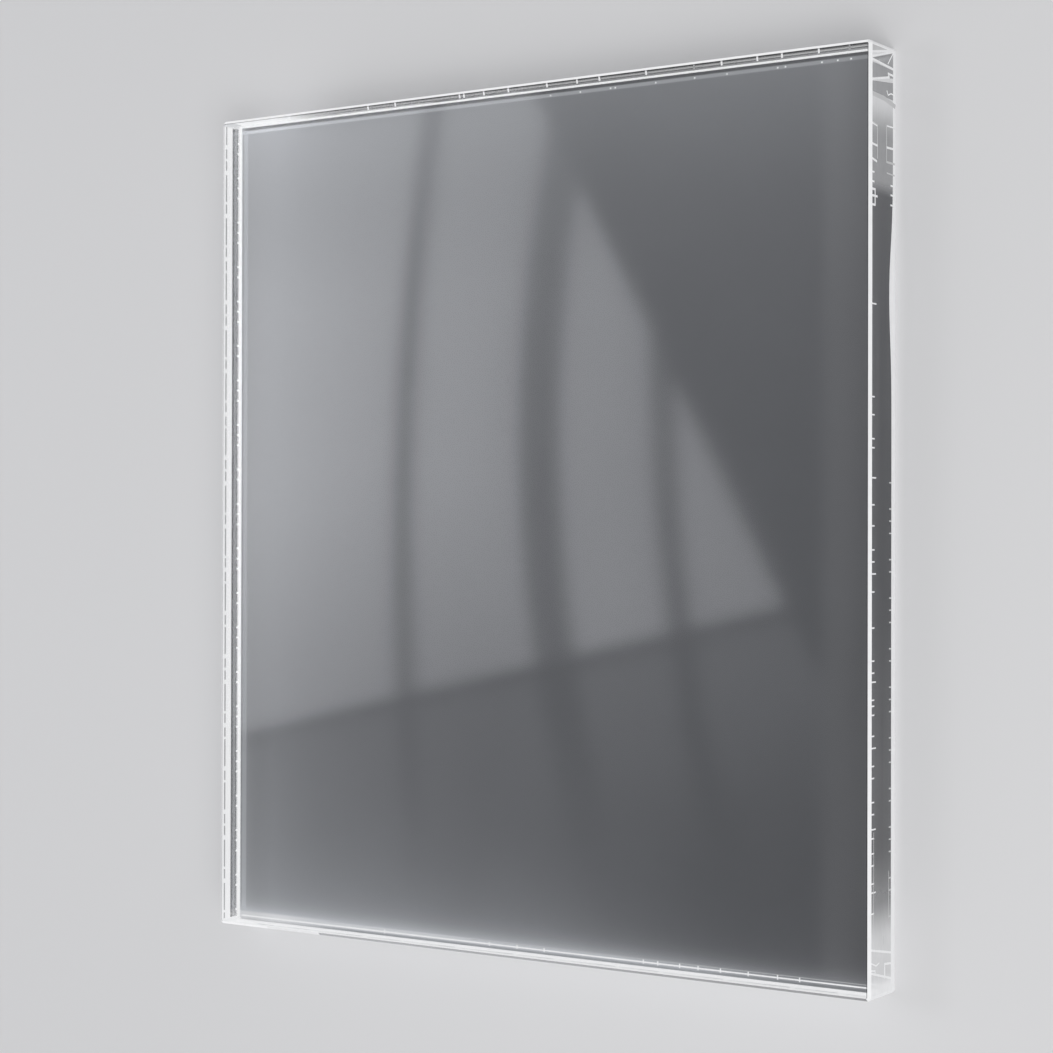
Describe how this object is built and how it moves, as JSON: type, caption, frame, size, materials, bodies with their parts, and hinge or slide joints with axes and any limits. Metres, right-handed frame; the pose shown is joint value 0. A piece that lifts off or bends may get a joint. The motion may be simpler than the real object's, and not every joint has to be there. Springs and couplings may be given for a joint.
{
  "type": "frosted acrylic sheet",
  "caption": "Thick clear acrylic sheet with polished faces and edges, scraped arrises and a frosted back that diffuses light.",
  "frame": {"origin": "middle of the lower, frosted face", "axes": "+X along the width, +Y along the height (the longest side), +Z through the thickness towards the polished face; it lies flat on its frosted face"},
  "size_m": [0.285, 0.32, 0.02],
  "materials": {
    "acrylic": "polished"
  },
  "bodies": {
    "root": {"sheet": "acrylic"}
  },
  "joints": []
}
